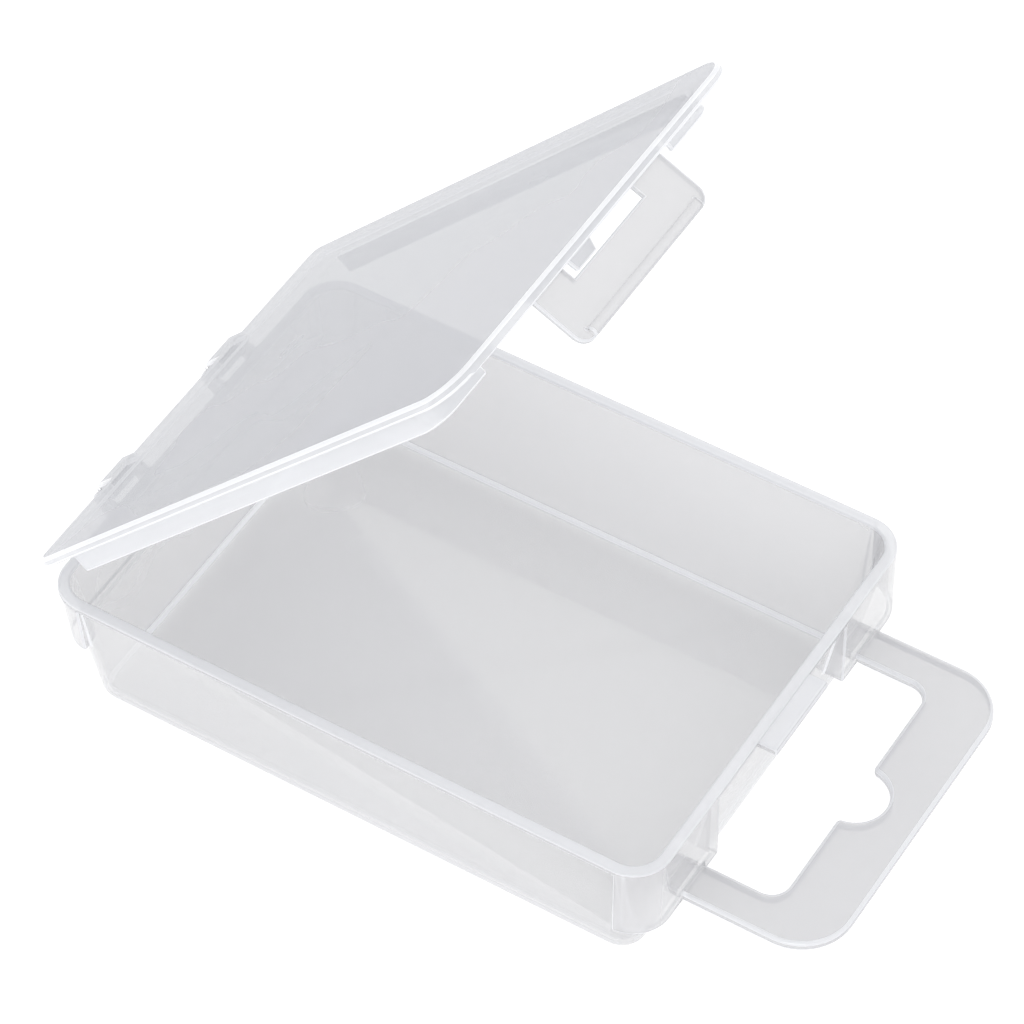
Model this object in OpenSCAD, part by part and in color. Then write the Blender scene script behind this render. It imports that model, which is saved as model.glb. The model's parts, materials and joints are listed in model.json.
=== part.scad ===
// Small clear parts box: a drafted tray with a carrying handle, a clip-on lid
// and a latch flap that hangs from the lid on a thin bend line.
// +X runs from the hinge end to the handle end, +Y from the near side to the
// far side, +Z up. The origin is the centre of the rim, at the tray's underside.

/* [Tray] */
// Length of the rim, from the hinge end to the latch end
rim_l = 136; // [120:1:180]
// Width of the rim
rim_w = 100; // [90:1:130]
// Height of the tray
tray_h = 34; // [30:1:50]
// Outer corner radius of the rim
rim_r = 8; // [7:0.5:12]
// Width of the flat band on top of the rim
rim_band = 2.4; // [2:0.1:3.5]
// Height of the rim's edge
rim_t = 1.6; // [1.2:0.1:2.4]
// Thickness of the walls
wall = 1.2; // [0.9:0.1:1.6]
// Thickness of the floor
floor_t = 1.2; // [0.9:0.1:2]
// Inset of the floor edge from the rim's edge, long sides
side_draft = 6.3; // [4:0.1:10]
// Inset of the floor edge from the rim's edge, latch end
latch_draft = 7.2; // [5:0.1:12]
// Inset of the floor edge from the rim's edge, hinge end
hinge_draft = 5.4; // [3:0.1:8]
// Rounding of the bottom edge
foot_r = 2; // [1.6:0.2:3]

/* [Skirts and handle] */
// Depth of the two skirts that hang from the rim at the latch end
skirt_h = 18.4; // [12:0.2:22]
// Depth of the skirt at the hinge end
rear_skirt_h = 15; // [10:0.2:18]
// Inset of the hinge end skirt's lower edge from the rim's edge
rear_skirt_in = 1.7; // [0.6:0.1:2]
// Gap between the two skirts at the latch end
skirt_gap = 48; // [40:1:60]
// Overall width of the handle
handle_w = 75; // [66:1:90]
// How far the handle reaches beyond the rim
handle_reach = 30.2; // [24:0.2:40]
// Thickness of the handle plate
handle_t = 2.2; // [1.6:0.1:3]
// Outer corner radius of the handle
handle_r = 11; // [6:0.5:16]
// Width of the grip bar
grip_w = 14; // [10:0.1:18]
// Width of each arm
arm_w = 8.2; // [6:0.1:12]
// Corner radius of the hand opening
grip_r = 4; // [2:0.5:8]
// Radius of the half-round peg notch in the grip bar
peg_r = 6.8; // [3:0.1:7]
// Width of the catch ledge
catch_w = 19.6; // [12:0.2:21]
// Thickness of the catch ledge
catch_t = 1.7; // [1.2:0.1:2]

/* [Lid] */
// How far the lid plate reaches beyond the rim at the latch end
lid_over = 5.2; // [3:0.1:7]
// Inset of the lid plate from the rim's edge at the hinge end
rear_in = 1.4; // [0:0.1:2]
// Inset of the lid plate from the rim's edge on the near side
near_in = 2.1; // [0:0.1:2.2]
// Inset of the lid plate from the rim's edge on the far side
far_in = 0.1; // [0:0.1:2.2]
// Thickness of the lid plate
lid_t = 2.2; // [1.6:0.1:3]
// Corner radius of the lid at the latch end
lid_r = 8; // [4:0.5:12]
// Corner radius of the lid at the hinge end
lid_rear_r = 3; // [2:0.5:6]
// Depth of the locating lip below the lid plate
lip_h = 4.2; // [3:0.2:7]
// Clearance between the locating lip and the tray wall
lip_gap = 0.3; // [0.3:0.1:1]
// Length of lip at each latch end corner, inwards from the long side
lip_return = 15; // [10:1:20]
// Width of the middle locating tab
tab_w = 7; // [4:0.5:12]
// Angle of the open lid in the rest pose
open_angle = 47.5; // [20:0.5:100]

/* [Latch flap] */
// Width of the latch flap
flap_w = 43; // [32:1:46]
// Depth of the latch flap below the top of the lid
flap_h = 14.5; // [12:0.5:20]
// Thickness of the latch flap
flap_t = 1.2; // [0.9:0.1:1.6]
// Inset of the latch flap from the lid's front edge
flap_in = 0.8; // [0.4:0.1:2]
// Outward lean of the free latch flap
flap_lean = 16; // [14:1:20]
// Height of the window in the latch flap
window_h = 3; // [2.4:0.1:4]
// Clearance at each end of the catch in the window
window_gap = 1.8; // [0.6:0.1:3]
// Height of the grip bead along the flap's lower edge
bead_h = 2.2; // [1.6:0.1:3]

/* [Hinge] */
// Radius of the hinge pins
pin_r = 1; // [0.8:0.1:1.2]
// Radial running clearance of the clips on the pins
pin_gap = 0.06; // [0.03:0.01:0.1]
// Outer radius of the clips and the pin brackets
knuckle_r = 1.9; // [1.8:0.05:2.4]
// Distance from the rim's edge to the pin axis
pin_out = 3.4; // [2.8:0.1:5]
// Depth of the pin axis below the top of the rim
pin_drop = 0.6; // [0.3:0.1:1.2]
// Width of each clip
clip_w = 9; // [6:0.5:16]
// Distance of each clip's middle from the box's middle
clip_y = 18.8; // [14:0.2:28]
// Side clearance between a clip and its brackets
clip_gap = 0.3; // [0.2:0.1:0.6]
// Thickness of each pin bracket
bracket_t = 1.5; // [1.2:0.1:3]

/* [Hidden] */
eps = 0.01;
level_t = 0.1;
arc_fn = 64;
hull_fn = 32;

// Tray outline and levels
rim_x = rim_l / 2;
rim_y = rim_w / 2;
lip_out = rim_band - wall;
skirt_z = tray_h - skirt_h;
skirt_t = wall;
rear_skirt_z = tray_h - rear_skirt_h;
rear_top_in = 0.25;
rim_mid_z = tray_h - rim_t / 2;
foot_corner_r = rim_r - lip_out - 1.8;
panel_tone = "azure";
panel_alpha = 0.5;

// Handle levels and outline
handle_z = skirt_z + 0.4;
handle_x = rim_x + handle_reach;
grip_x = handle_x - grip_w;
arm_y = handle_w / 2 - arm_w;
peg_x = grip_x - 0.3;
peg_fillet = 1.2;
peg_bite = 0.05;
arm_root_x = rim_x - lip_out - (latch_draft - lip_out) * skirt_h / tray_h - wall / 2;

// Lid, measured with the lid shut
lid_x0 = -rim_x + rear_in;
shut_gap = 0.1;
lid_low = tray_h + shut_gap;
lid_z = lid_low + lid_t;
lid_x1 = rim_x + lid_over;
lid_y = rim_y - (near_in + far_in) / 2;
lid_mid_y = (near_in - far_in) / 2;
lip_start = 10;
lip_r = rim_r - rim_band;
lip_z = lid_low - lip_h;
tab_h = lip_h + 0.9;
tab_flare = 0.8;
lip_y = rim_y - rim_band - (side_draft - lip_out) * lip_h / tray_h - lip_gap;
lip_x1 = rim_x - rim_band - (latch_draft - lip_out) * tab_h / tray_h - lip_gap;
lip_x0 = lid_x0 + lip_start;

// Latch flap and catch, measured with the lid shut and the flap upright
root_z = lid_low + flap_t / 2;
root_x = lid_x1 - flap_in - flap_t / 2;
seat_gap = 0.1;
seat_out = 0.3;
flap_corner_r = 3;
flap_low_z = lid_z - flap_h;
window_top = tray_h + 0.15;
catch_gap_z = 0.45;
catch_z = window_top - catch_gap_z - catch_t;
catch_tip = 0.5;
snap = 0.8;
catch_x = root_x - flap_t / 2 + snap;
flap_gap = 0.3;

// Hinge
pin_x = -rim_x - pin_out;
pin_z = tray_h - pin_drop;
clip_mouth = 80;
bracket_y = clip_w / 2 + clip_gap;
bracket_drop = pin_drop + knuckle_r + pin_out + 2;
bracket_x = pin_out + skirt_t / 2;

// Rounded rectangle with exact corners, its two ends with their own radii
module outline(x0, x1, half_w, r0, r1) {
  translate([x0 + r0, -half_w]) square([x1 - r1 - x0 - r0, 2 * half_w]);
  translate([x0, -half_w + r0]) square([r0, 2 * (half_w - r0)]);
  translate([x1 - r1, -half_w + r1]) square([r1, 2 * (half_w - r1)]);
  for (s = [-1, 1]) {
    translate([x0 + r0, s * (half_w - r0)]) circle(r0, $fn = arc_fn);
    translate([x1 - r1, s * (half_w - r1)]) circle(r1, $fn = arc_fn);
  }
}

// One level of the drafted tub, inset by the draft at that height and by more
module tub_level(z, more, r) {
  f = 1 - z / tray_h;
  x0 = -rim_x + lip_out + (hinge_draft - lip_out) * f + more;
  x1 = rim_x - lip_out - (latch_draft - lip_out) * f - more;
  y = rim_y - lip_out - (side_draft - lip_out) * f - more;
  for (x = [x0 + r, x1 - r], s = [-1, 1])
    translate([x, s * (y - r), z]) cylinder(r = r, h = level_t, $fn = hull_fn);
}

// Drafted tub from height z0 to z1: its bottom edge is rounded with radius edge_r
module tub(z0, z1, more, edge_r) {
  r = foot_corner_r - more;
  hull() {
    for (k = [0:3]) {
      fall = edge_r * (1 - sin(k * 30));
      tub_level(z0 + edge_r * (1 - cos(k * 30)), more + fall, r - fall / 2);
    }
    tub_level(z1 - level_t, more, rim_r - lip_out - more);
  }
}

// Wall that follows the rim's outer edge and hangs down from it
module edge_band(z0, z1, t) {
  translate([0, 0, z0]) linear_extrude(z1 - z0) difference() {
    outline(-rim_x, rim_x, rim_y, rim_r, rim_r);
    outline(-rim_x + t, rim_x - t, rim_y - t, rim_r - t, rim_r - t);
  }
}

// Block that takes in part of the latch end, from x0 to x1 and y0 to y1
module zone(x0, x1, y0, y1) {
  translate([x0, y0, skirt_z]) cube([x1 - x0, y1 - y0, skirt_h]);
}

// Two upright skirts at the latch end, with panels that close them to the tub
module latch_skirts() {
  corner_x = rim_x - rim_r;
  past = rim_x + 1;
  intersection() {
    edge_band(skirt_z, tray_h, skirt_t);
    union() {
      zone(corner_x, past, -rim_y, -skirt_gap / 2);
      zone(corner_x, past, skirt_gap / 2, rim_y);
    }
  }
  intersection() {
    translate([0, 0, skirt_z]) linear_extrude(skirt_h)
      outline(-rim_x, rim_x, rim_y, rim_r, rim_r);
    for (s = [-1, 1]) {
      y_end = s * (skirt_gap + skirt_t) / 2;
      zone(corner_x, past, y_end - skirt_t / 2, y_end + skirt_t / 2);
      zone(corner_x, corner_x + skirt_t, s * rim_y - rim_r, s * rim_y + rim_r);
    }
  }
}

// Drafted skirt round the hinge end and its corners, solid with the walls
module rear_skirt() {
  end_x = -rim_x + rim_r;
  intersection() {
    hull()
      for (level = [0, 1], s = [-1, 1]) {
        inset = level == 1 ? rear_top_in : rear_skirt_in;
        r = rim_r - inset;
        z = level == 1 ? rim_mid_z - level_t : rear_skirt_z;
        for (x = [end_x, 0])
          translate([x, s * (rim_y - inset - r), z])
            cylinder(r = r, h = level_t, $fn = hull_fn);
      }
    translate([-2 * rim_x, -rim_y, 0]) cube([end_x + 2 * rim_x, rim_w, tray_h]);
  }
}

module rim() {
  edge_band(tray_h - rim_t, tray_h, rim_band + wall);
}

// Corner between the grip bar's inner edge and the peg notch, to be rounded
module peg_corner() {
  dx = grip_x + peg_fillet - peg_x;
  cy = sqrt(pow(peg_r + peg_fillet - peg_bite, 2) - dx * dx);
  mouth_y = sqrt(peg_r * peg_r - pow(grip_x - peg_x, 2));
  k = peg_r / (peg_r + peg_fillet);
  difference() {
    polygon([
      [grip_x - eps, cy], [grip_x - eps, mouth_y],
      [peg_x + k * dx, k * cy], [grip_x + peg_fillet, cy]
    ]);
    translate([grip_x + peg_fillet, cy]) circle(peg_fillet, $fn = arc_fn);
  }
}

module handle() {
  translate([0, 0, handle_z]) linear_extrude(handle_t) difference() {
    outline(arm_root_x - 2 * handle_r, handle_x, handle_w / 2, handle_r, handle_r);
    translate([arm_root_x - 3 * handle_r, -handle_w]) square([3 * handle_r, 2 * handle_w]);
    outline(arm_root_x - 2 * grip_r, grip_x, arm_y, grip_r, grip_r);
    translate([peg_x, 0]) circle(peg_r, $fn = arc_fn);
    peg_corner();
    mirror([0, 1]) peg_corner();
  }
}

// Ledge on the outside of the rim, which the window of the latch flap snaps over
module catch_ledge() {
  root = rim_x - rim_band;
  translate([0, catch_w / 2, 0]) rotate([90, 0, 0]) linear_extrude(catch_w)
    polygon([
      [root, catch_z], [catch_x, catch_z], [catch_x, catch_z + catch_t - catch_tip],
      [catch_x - catch_tip, catch_z + catch_t], [root, catch_z + catch_t]
    ]);
}

// Pins and the brackets that hold them, behind the rim's hinge end
module hinge_pins() {
  for (s = [-1, 1]) translate([pin_x, s * clip_y, pin_z]) rotate([90, 0, 0]) {
    translate([0, 0, -bracket_y - bracket_t / 2])
      cylinder(r = pin_r, h = 2 * bracket_y + bracket_t, $fn = arc_fn);
    for (e = [-1, 1])
      translate([0, 0, e * (bracket_y + bracket_t / 2) - bracket_t / 2]) {
        cylinder(r = knuckle_r, h = bracket_t, $fn = arc_fn);
        linear_extrude(bracket_t) polygon([
          [0, -knuckle_r], [-knuckle_r, 0], [-knuckle_r * 0.7, -knuckle_r * 0.7],
          [bracket_x + rear_skirt_in * bracket_drop / rear_skirt_h, pin_drop - bracket_drop],
          [bracket_x, pin_drop - rim_t / 4], [0, knuckle_r * 0.6]
        ]);
      }
  }
}

module tray() {
  color(panel_tone, panel_alpha) {
    difference() {
      union() {
        tub(0, rim_mid_z, 0, foot_r);
        rim();
        latch_skirts();
        rear_skirt();
        handle();
        catch_ledge();
      }
      tub(floor_t, tray_h + 1, wall, max(foot_r - wall, 0.6));
    }
    hinge_pins();
  }
}

// Places what is drawn for the shut lid at the open angle
module opened() {
  translate([pin_x, 0, pin_z]) rotate([0, -open_angle, 0])
    translate([-pin_x, 0, -pin_z]) children();
}

// Locating lip: along both long sides, round the corners and a little inwards
module locating_lip() {
  translate([0, 0, lip_z]) linear_extrude(lip_h + eps) difference() {
    outline(lip_x0 - lip_r, lip_x1, lip_y, lip_r, lip_r);
    outline(lip_x0 - 2 * lip_r, lip_x1 - wall, lip_y - wall, lip_r, lip_r - wall);
    translate([lip_x0 - 3 * lip_r, -rim_y]) square([3 * lip_r, rim_w]);
    translate([lip_x1 - lip_r, -lip_y + lip_return])
      square([2 * lip_r, 2 * (lip_y - lip_return)]);
  }
}

// Middle tab, wider at its root
module middle_tab() {
  translate([lip_x1, lid_mid_y, lid_low + eps]) rotate([0, -90, 0]) linear_extrude(wall)
    polygon([
      [0, -tab_w / 2 - tab_flare], [0, tab_w / 2 + tab_flare],
      [-tab_h, tab_w / 2 - tab_flare / 2], [-tab_h, -tab_w / 2 + tab_flare / 2]
    ]);
}

// Clip that snaps over a hinge pin, open downwards, with its arm to the lid
module clip() {
  arm_t = lid_z - pin_z - pin_r - pin_gap;
  translate([pin_x, 0, pin_z]) rotate([90, 0, 0])
    translate([0, 0, -clip_w / 2]) difference() {
      union() {
        cylinder(r = knuckle_r, h = clip_w, $fn = arc_fn);
        translate([0, lid_z - pin_z - arm_t, 0])
          cube([lid_x0 - pin_x + eps, arm_t, clip_w]);
      }
      translate([0, 0, -1]) cylinder(r = pin_r + pin_gap, h = clip_w + 2, $fn = arc_fn);
      translate([0, 0, -1]) linear_extrude(clip_w + 2) polygon([
        [0, 0], [2 * knuckle_r * sin(-clip_mouth / 2), -2 * knuckle_r * cos(clip_mouth / 2)],
        [2 * knuckle_r * sin(clip_mouth / 2), -2 * knuckle_r * cos(clip_mouth / 2)]
      ]);
    }
}

module lid() {
  color(panel_tone, panel_alpha) opened() {
    difference() {
      translate([0, lid_mid_y, lid_low]) linear_extrude(lid_t)
        outline(lid_x0, lid_x1, lid_y, lid_rear_r, lid_r);
      // Seat of the latch flap's bend line
      translate([root_x - flap_t / 2 - seat_gap, lid_mid_y - flap_w / 2 - flap_gap, lid_low - eps])
        cube([flap_t + seat_gap + seat_out, flap_w + 2 * flap_gap, flap_t + seat_gap + eps]);
    }
    locating_lip();
    middle_tab();
    for (s = [-1, 1]) translate([0, s * clip_y, 0]) clip();
  }
}

// Upright latch flap with a rounded root on its bend line, a window, rounded
// lower corners and a grip bead
module flap_upright() {
  r = flap_corner_r;
  low = flap_low_z;
  window_w = catch_w + 2 * window_gap;
  difference() {
    union() {
      translate([root_x, flap_w / 2, root_z]) rotate([90, 0, 0])
        cylinder(d = flap_t, h = flap_w, $fn = arc_fn);
      translate([root_x + flap_t / 2, 0, 0]) rotate([0, -90, 0]) linear_extrude(flap_t) {
        translate([low + r, -flap_w / 2]) square([root_z - low - r, flap_w]);
        translate([low, -flap_w / 2 + r]) square([r + eps, flap_w - 2 * r]);
        for (s = [-1, 1])
          translate([low + r, s * (flap_w / 2 - r)]) circle(r, $fn = arc_fn);
      }
      translate([root_x + flap_t / 2, flap_w / 2 - r, low + bead_h / 2])
        rotate([90, 0, 0]) cylinder(d = bead_h, h = flap_w - 2 * r, $fn = arc_fn);
    }
    translate([root_x - flap_t, -window_w / 2, window_top - window_h])
      cube([2 * flap_t, window_w, window_h]);
  }
}

module latch_flap() {
  color(panel_tone, panel_alpha) opened()
    translate([root_x, lid_mid_y, root_z]) rotate([0, -flap_lean, 0])
      translate([-root_x, 0, -root_z]) flap_upright();
}

tray();
lid();
latch_flap();
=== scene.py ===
import bmesh
import bpy
import json
import math
from mathutils import Matrix, Vector

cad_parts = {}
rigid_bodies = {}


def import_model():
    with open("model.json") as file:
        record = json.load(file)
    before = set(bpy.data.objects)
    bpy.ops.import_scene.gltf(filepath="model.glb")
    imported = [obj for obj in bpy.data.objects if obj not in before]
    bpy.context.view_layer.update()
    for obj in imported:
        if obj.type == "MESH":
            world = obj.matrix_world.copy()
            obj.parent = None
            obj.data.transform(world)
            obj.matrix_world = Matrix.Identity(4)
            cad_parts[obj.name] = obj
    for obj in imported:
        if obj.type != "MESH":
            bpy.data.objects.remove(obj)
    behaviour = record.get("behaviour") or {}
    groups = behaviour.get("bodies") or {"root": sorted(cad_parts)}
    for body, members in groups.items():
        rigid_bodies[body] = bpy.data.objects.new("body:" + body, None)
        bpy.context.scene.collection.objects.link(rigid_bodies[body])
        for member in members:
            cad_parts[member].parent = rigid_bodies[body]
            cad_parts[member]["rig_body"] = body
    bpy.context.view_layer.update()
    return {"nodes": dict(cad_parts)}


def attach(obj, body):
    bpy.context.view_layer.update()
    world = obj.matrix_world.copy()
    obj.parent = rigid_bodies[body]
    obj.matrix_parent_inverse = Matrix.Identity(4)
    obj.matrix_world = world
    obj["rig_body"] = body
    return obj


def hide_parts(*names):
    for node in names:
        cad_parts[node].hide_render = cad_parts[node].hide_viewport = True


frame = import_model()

tray = frame["nodes"]["tray"]
lid = frame["nodes"]["lid"]
latchFlap = frame["nodes"]["latch_flap"]
bpy.ops.object.select_all(action="DESELECT")

# The photograph's camera, found by matching the rim, the handle and the lid
camera = {
    "place": (0.33138666, -0.51601542, 0.76135885),
    "right": (0.85059148, 0.52579713, -0.00561449),
    "up": (-0.39542, 0.64664336, 0.65230008),
    "back": (0.34660808, -0.5526208, 0.75794003),
    "lens": 173.1465,  # mm
    "sensor": 36,  # mm across
    "clip": (0.05, 20),
}


def makeCamera():
    data = bpy.data.cameras.new("photoCamera")
    data.lens = camera["lens"]
    data.sensor_width = camera["sensor"]
    data.clip_start, data.clip_end = camera["clip"]
    seen = bpy.data.objects.new("photoCamera", data)
    bpy.context.collection.objects.link(seen)
    turn = Matrix((camera["right"], camera["up"], camera["back"])).transposed()
    seen.matrix_world = Matrix.Translation(camera["place"]) @ turn.to_4x4()
    bpy.context.scene.camera = seen


makeCamera()
print("camera in place")

# Soft, bright studio: pale floor, white air and two large lamps
studio = {
    "floorSize": 8.0,
    "floorDrop": 0.0006,  # the floor lies this far below the box
    "floorColour": (0.5, 0.5, 0.5, 1),
    "floorRoughness": 0.95,
    "floorShine": 0.1,
    "floorGlow": 0.62,  # the floor is a light table
    "glowColour": (1, 1, 1, 1),
    "airColour": (1.0, 1.0, 1.0, 1),
    "airStrength": 1.02,
    "keySize": 0.9,
    "keyPower": 1.5,
    "keyPlace": (0.5, 0.9, 1.1),
    "fillSize": 0.5,
    "fillPower": 0.6,
    "fillPlace": (-0.9, -0.5, 0.8),
    "frontSize": 0.8,
    "frontPower": 2.6,
    "frontPlace": (0.5, -1.1, 0.35),
}


def addNodes(material):
    material.use_nodes = True
    nodes = material.node_tree.nodes
    links = material.node_tree.links
    return nodes, links, nodes["Principled BSDF"]


def addLamp(name, size, power, place):
    data = bpy.data.lights.new(name, "AREA")
    data.shape = "DISK"
    data.size = size
    data.energy = power
    lamp = bpy.data.objects.new(name, data)
    lamp.location = place
    lamp.rotation_euler = (-Vector(place)).to_track_quat("-Z", "Y").to_euler()
    bpy.context.collection.objects.link(lamp)


def makeStudio():
    bpy.ops.mesh.primitive_plane_add(
        size=studio["floorSize"], location=(0, 0, -studio["floorDrop"])
    )
    floor = bpy.context.object
    floor.name = "paleFloor"
    paper = bpy.data.materials.new("palePaper")
    shader = addNodes(paper)[2]
    shader.inputs["Base Color"].default_value = studio["floorColour"]
    shader.inputs["Emission Color"].default_value = studio["glowColour"]
    shader.inputs["Emission Strength"].default_value = studio["floorGlow"]
    shader.inputs["Roughness"].default_value = studio["floorRoughness"]
    shader.inputs["Specular IOR Level"].default_value = studio["floorShine"]
    floor.data.materials.append(paper)
    floor.select_set(False)
    world = bpy.data.worlds.new("studioAir")
    world.use_nodes = True
    air = world.node_tree.nodes["Background"]
    air.inputs["Color"].default_value = studio["airColour"]
    air.inputs["Strength"].default_value = studio["airStrength"]
    bpy.context.scene.world = world
    bpy.context.scene.view_settings.view_transform = "Standard"
    for lamp in ("key", "fill", "front"):
        addLamp(
            lamp + "Lamp", studio[lamp + "Size"],
            studio[lamp + "Power"], studio[lamp + "Place"],
        )


makeStudio()
print("studio made")

# Clear natural polypropylene: glossy and see-through, with a milky haze that gathers
# along the edges, with a painted highlight glow on the edges, the lid plate painted
# darker as painted shade and the lip painted lighter as painted light
plastic = {
    "wallTone": (0.65, 0.65, 0.67, 1),
    "wallBody": 0.36,  # how much a wall's face hides
    "wallGrazing": 0.62,  # how much it hides where it is seen edge on
    "wallGloss": 1.0,
    # painted shade: the lid plate's tone is darker than the walls' to offset the
    # light falling on its top
    "platePaintedShadeTone": (0.46, 0.47, 0.51, 1),
    "plateBody": 0.42,
    "plateGrazing": 0.70,
    "plateGloss": 0.04,
    "handleTone": (0.60, 0.60, 0.62, 1),
    "handleBody": 0.42,
    "handleGrazing": 0.66,
    # the rim's top is lighter partly for its thicker plastic and partly as a painted
    # highlight of the light on it
    "rimThickAndLitTone": (0.80, 0.81, 0.84, 1),
    "rimBody": 0.75,
    "rimGloss": 0.3,
    # painted light: the lid's lip is lighter, as if lit from the front
    "lipPaintedLightTone": (0.80, 0.81, 0.84, 1),
    "lipBody": 0.5,
    "lipGrazing": 0.7,
    "edgeTone": (0.62, 0.63, 0.66, 1),
    "edgeBody": 0.85,
    "edgeGloss": 0.3,
    # painted highlight: the edge strips glow, more strongly along the tub's inner
    # edges
    "edgePaintedHighlight": 0.10,
    "innerEdgePaintedHighlight": 0.27,
    "glowColour": (1, 1, 1, 1),
    "roughness": 0.16,
    "ior": 1.49,
    "glossRoughness": 0.07,
    "glossIor": 2.2,
    "edgeOnBlend": 0.35,
    "hazeLeast": 0.7,  # of the roughness
    "hazeMost": 1.3,
    "flowSize": 16.0,
    "flowDetail": 2,
    "flowDepth": 0.035,
}


# Cloudy flow marks of moulded plastic, as a tint, a body and a haze
def makeFlow():
    group = bpy.data.node_groups.new("mouldFlow", "ShaderNodeTree")
    face = group.interface
    face.new_socket("Tone", in_out="INPUT", socket_type="NodeSocketColor")
    face.new_socket("Body", in_out="INPUT", socket_type="NodeSocketFloat")
    face.new_socket("Tone", in_out="OUTPUT", socket_type="NodeSocketColor")
    face.new_socket("Body", in_out="OUTPUT", socket_type="NodeSocketFloat")
    face.new_socket("Haze", in_out="OUTPUT", socket_type="NodeSocketFloat")
    nodes, links = group.nodes, group.links
    given = nodes.new("NodeGroupInput")
    made = nodes.new("NodeGroupOutput")
    place = nodes.new("ShaderNodeTexCoord")
    flow = nodes.new("ShaderNodeTexNoise")
    flow.inputs["Scale"].default_value = plastic["flowSize"]
    flow.inputs["Detail"].default_value = plastic["flowDetail"]
    links.new(place.outputs["Object"], flow.inputs["Vector"])
    gain = nodes.new("ShaderNodeMapRange")
    gain.inputs["To Min"].default_value = 1 - plastic["flowDepth"]
    gain.inputs["To Max"].default_value = 1 + plastic["flowDepth"]
    links.new(flow.outputs["Fac"], gain.inputs["Value"])
    tint = nodes.new("ShaderNodeVectorMath")
    tint.operation = "SCALE"
    links.new(given.outputs["Tone"], tint.inputs[0])
    links.new(gain.outputs["Result"], tint.inputs["Scale"])
    links.new(tint.outputs["Vector"], made.inputs["Tone"])
    body = nodes.new("ShaderNodeMath")
    body.operation = "MULTIPLY"
    links.new(given.outputs["Body"], body.inputs[0])
    links.new(gain.outputs["Result"], body.inputs[1])
    links.new(body.outputs["Value"], made.inputs["Body"])
    haze = nodes.new("ShaderNodeMapRange")
    haze.inputs["To Min"].default_value = plastic["roughness"] * plastic["hazeLeast"]
    haze.inputs["To Max"].default_value = plastic["roughness"] * plastic["hazeMost"]
    links.new(flow.outputs["Fac"], haze.inputs["Value"])
    links.new(haze.outputs["Result"], made.inputs["Haze"])
    return group


mouldFlow = makeFlow()


def makePlastic(name, tone, body, grazingBody, gloss):
    material = bpy.data.materials.new(name)
    nodes, links, shader = addNodes(material)
    shader.inputs["IOR"].default_value = plastic["ior"]
    shader.inputs["Coat Weight"].default_value = gloss
    shader.inputs["Coat Roughness"].default_value = plastic["glossRoughness"]
    shader.inputs["Coat IOR"].default_value = plastic["glossIor"]
    flow = nodes.new("ShaderNodeGroup")
    flow.node_tree = mouldFlow
    flow.inputs["Tone"].default_value = tone
    edgeOn = nodes.new("ShaderNodeLayerWeight")
    edgeOn.inputs["Blend"].default_value = plastic["edgeOnBlend"]
    spread = nodes.new("ShaderNodeMapRange")
    spread.inputs["To Min"].default_value = body
    spread.inputs["To Max"].default_value = grazingBody
    links.new(edgeOn.outputs["Facing"], spread.inputs["Value"])
    links.new(spread.outputs["Result"], flow.inputs["Body"])
    links.new(flow.outputs["Tone"], shader.inputs["Base Color"])
    links.new(flow.outputs["Body"], shader.inputs["Alpha"])
    links.new(flow.outputs["Haze"], shader.inputs["Roughness"])
    return material


wallPlastic = makePlastic(
    "wallPlastic", plastic["wallTone"], plastic["wallBody"],
    plastic["wallGrazing"], plastic["wallGloss"],
)
# painted shade: a darker copy of the plastic for the lid plate, which the lamps
# light from above
shadedPlatePlastic = makePlastic(
    "shadedPlatePlastic", plastic["platePaintedShadeTone"], plastic["plateBody"],
    plastic["plateGrazing"], plastic["plateGloss"],
)
# painted light: a lighter copy of the plastic for the lid's lip
litLipPlastic = makePlastic(
    "litLipPlastic", plastic["lipPaintedLightTone"], plastic["lipBody"],
    plastic["lipGrazing"], plastic["plateGloss"],
)
handlePlastic = makePlastic(
    "handlePlastic", plastic["handleTone"], plastic["handleBody"],
    plastic["handleGrazing"], plastic["plateGloss"],
)
# partly thicker plastic, partly painted highlight: a lighter copy for the rim's top
thickAndLitRimPlastic = makePlastic(
    "thickAndLitRimPlastic", plastic["rimThickAndLitTone"], plastic["rimBody"],
    plastic["rimBody"], plastic["rimGloss"],
)
# painted highlight: copies of the plastic for the edge strips, given a glow below
glowingEdgePlastic = makePlastic(
    "glowingEdgePlastic", plastic["edgeTone"], plastic["edgeBody"],
    plastic["edgeBody"], plastic["edgeGloss"],
)
glowingInnerEdgePlastic = makePlastic(
    "glowingInnerEdgePlastic", plastic["edgeTone"], plastic["edgeBody"],
    plastic["edgeBody"], plastic["edgeGloss"],
)


# Painted highlight: the edges glow though they are no lamp, standing in for the
# bright lines of light along them
def paintEdgeHighlights(material, brightness):
    shader = addNodes(material)[2]
    shader.inputs["Emission Color"].default_value = plastic["glowColour"]
    shader.inputs["Emission Strength"].default_value = brightness


paintEdgeHighlights(glowingEdgePlastic, plastic["edgePaintedHighlight"])
paintEdgeHighlights(glowingInnerEdgePlastic, plastic["innerEdgePaintedHighlight"])
print("plastic mixed")

# Every piece gets the soft edges that a mould leaves, which catch the light
softEdge = {
    "width": 0.0007,  # on the handle and the lid plate
    "thinShare": 0.6,  # of that width on the thin walls
    "seatShare": 0.3,  # and round the flap's seat
    "steps": 3,
    "sharpAngle": 24,
    "smoothAngle": 35,
    "weld": 0.000001,
    "faceWeight": 100,
}

# Where each piece keeps its materials
places = {"face": 0, "edge": 1, "innerEdge": 2, "lip": 2, "handle": 3, "rim": 4}


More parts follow.
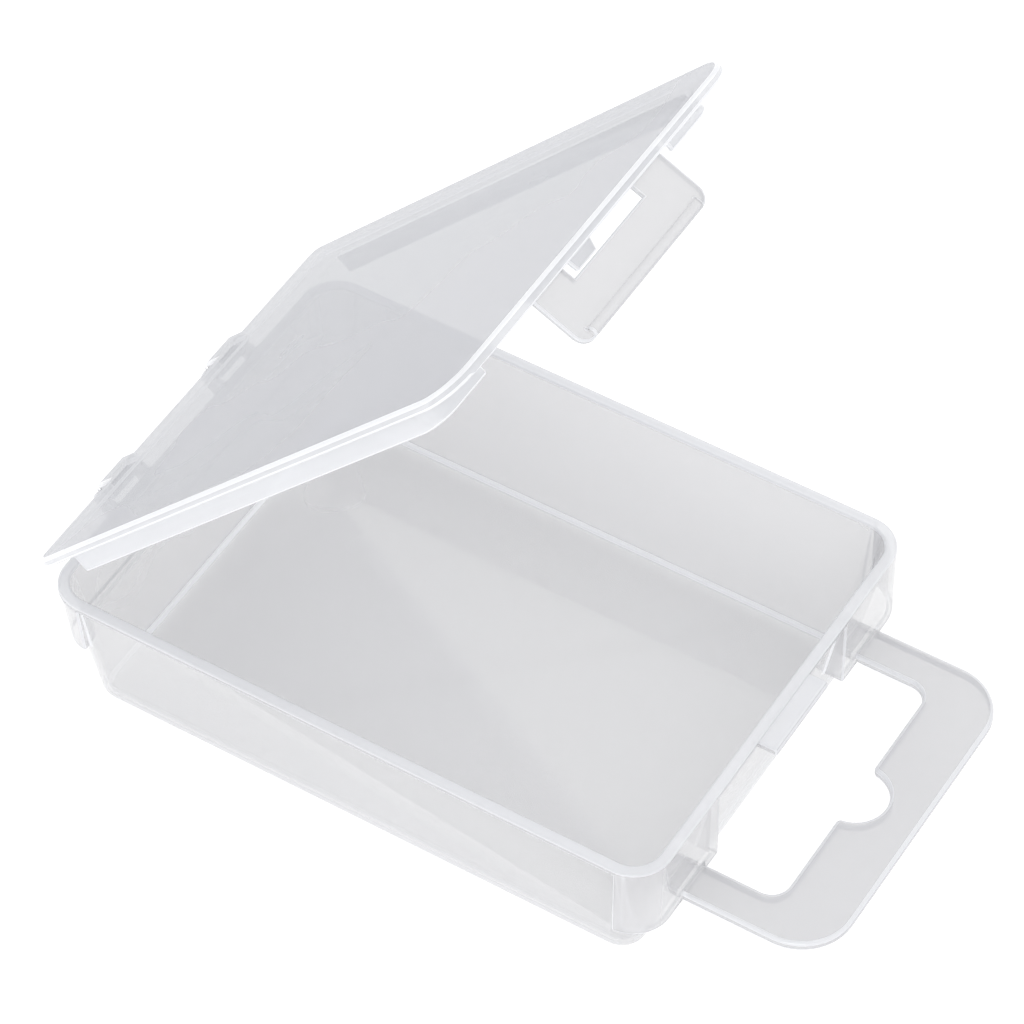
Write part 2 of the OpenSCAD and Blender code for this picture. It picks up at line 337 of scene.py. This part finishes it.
# Marks the edges to round: those that stand out, and hollow ones where told
def markEdges(piece, isHollow, edgeShare):
    mesh = bmesh.new()
    mesh.from_mesh(piece.data)
    share = mesh.edges.layers.float.new("bevel_weight_edge")
    for edge in mesh.edges:
        sharp = edge.calc_face_angle(0) > math.radians(softEdge["sharpAngle"])
        middle = (edge.verts[0].co + edge.verts[1].co) / 2
        rounded = sharp and (edge.is_convex or isHollow(middle))
        edge[share] = edgeShare(middle) if rounded else 0
    mesh.to_mesh(piece.data)
    mesh.free()


def softenedCopy(source, name, mix, chooseMix, isHollow, edgeShare):
    piece = bpy.data.objects.new(name, source.data.copy())
    bpy.context.collection.objects.link(piece)
    bpy.ops.object.select_all(action="DESELECT")
    piece.select_set(True)
    bpy.context.view_layer.objects.active = piece
    piece.data.materials.clear()
    for material in mix:
        piece.data.materials.append(material)
    bpy.ops.object.mode_set(mode="EDIT")
    bpy.ops.mesh.select_all(action="SELECT")
    bpy.ops.mesh.remove_doubles(threshold=softEdge["weld"])
    bpy.ops.object.mode_set(mode="OBJECT")
    for face in piece.data.polygons:
        face.material_index = chooseMix(face.center, face.normal)
    markEdges(piece, isHollow, edgeShare)
    bevel = piece.modifiers.new("softEdges", "BEVEL")
    bevel.width = softEdge["width"]
    bevel.segments = softEdge["steps"]
    bevel.limit_method = "WEIGHT"
    # the rounded strips take the edge material with its painted highlight glow
    bevel.material = places["edge"]
    bevel.use_clamp_overlap = False
    bevel.loop_slide = False
    bpy.ops.object.modifier_apply(modifier=bevel.name)
    # inside the tub they take the stronger painted highlight glow
    for face in piece.data.polygons:
        if face.material_index == places["edge"] and isHollow(face.center):
            face.material_index = places["innerEdge"]
    smooth = math.radians(softEdge["smoothAngle"])
    bpy.ops.object.shade_smooth_by_angle(angle=smooth)
    faces = piece.modifiers.new("flatFaces", "WEIGHTED_NORMAL")
    faces.weight = softEdge["faceWeight"]
    faces.keep_sharp = True
    bpy.ops.object.modifier_apply(modifier=faces.name)
    piece.select_set(False)
    return piece


def dressNode(source, nodeName, pieceName, mix, chooseMix, isHollow, edgeShare):
    piece = softenedCopy(source, pieceName, mix, chooseMix, isHollow, edgeShare)
    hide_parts(nodeName)
    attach(piece, source["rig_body"])
    print(pieceName, "softened,", len(piece.data.polygons), "faces")


# Where the plastic is thick or thin, or painted lighter as if lit: the handle, the
# top of the rim, the inside of the tub, and the lid's edge and lip
layout = {
    "handleStart": 0.0685,
    "handleTop": 0.0185,
    "rimTop": 0.0335,
    "tubEnds": 0.0655,
    "tubSides": 0.0487,
    "tubTop": 0.0315,
    "pin": (-0.0714, 0, 0.0334),
    "openAngle": 47.5,
    "plateLow": 0.0007,  # the plate's underside above the pin, lid shut
    "clipReach": 0.006,
    "seatReach": 0.1405,
    "seatDepth": 0.0018,
    "seatSides": 0.0245,
    "slack": 0.0001,
    "levelFacing": 0.9,
    "edgeFacing": 0.3,
}


def insideTub(spot):
    along = abs(spot.x) < layout["tubEnds"]
    across = abs(spot.y) < layout["tubSides"]
    return along and across and spot.z < layout["tubTop"]


def nowhere(spot):
    return False


def onHandle(spot):
    return spot.x > layout["handleStart"] and spot.z < layout["handleTop"]


def plateDepth(spot):
    turn = math.radians(layout["openAngle"])
    plateUp = Vector((-math.sin(turn), 0, math.cos(turn)))
    arm = spot - Vector(layout["pin"])
    return arm.dot(plateUp) - layout["plateLow"], arm.length, plateUp


def trayShare(spot):
    return 1 if onHandle(spot) else softEdge["thinShare"]


def lidShare(spot):
    height, reach, plateUp = plateDepth(spot)
    nearSeat = reach > layout["seatReach"] and height < layout["seatDepth"]
    if nearSeat and abs(spot.y) < layout["seatSides"]:
        return softEdge["seatShare"]
    onPlate = height > -layout["slack"] and reach > layout["clipReach"]
    return 1 if onPlate else softEdge["thinShare"]


def thinShare(spot):
    return softEdge["thinShare"]


def trayMix(spot, facing):
    if onHandle(spot):
        return places["handle"]
    # the rim's upward-facing top gets the lighter rim tone: thicker plastic and a
    # painted highlight
    if spot.z > layout["rimTop"] and facing.z > layout["levelFacing"]:
        return places["rim"]
    return places["face"]


def lidMix(spot, facing):
    height, reach, plateUp = plateDepth(spot)
    hangs = height < -layout["slack"]
    onEdge = abs(facing.dot(plateUp)) < layout["edgeFacing"]
    # the lip gets the lighter tone, painted light as if lit from the front
    onLip = reach > layout["clipReach"] and (hangs or onEdge)
    return places["lip"] if onLip else places["face"]


def flapMix(spot, facing):
    return places["face"]


dressNode(
    tray, "tray", "trayShell",
    (wallPlastic, glowingEdgePlastic, glowingInnerEdgePlastic, handlePlastic, thickAndLitRimPlastic),
    trayMix, insideTub, trayShare,
)
dressNode(
    lid, "lid", "lidPlate",
    (shadedPlatePlastic, glowingInnerEdgePlastic, litLipPlastic),
    lidMix, nowhere, lidShare,
)
dressNode(
    latchFlap, "latch_flap", "flapPlate",
    (handlePlastic, glowingEdgePlastic),
    flapMix, nowhere, thinShare,
)
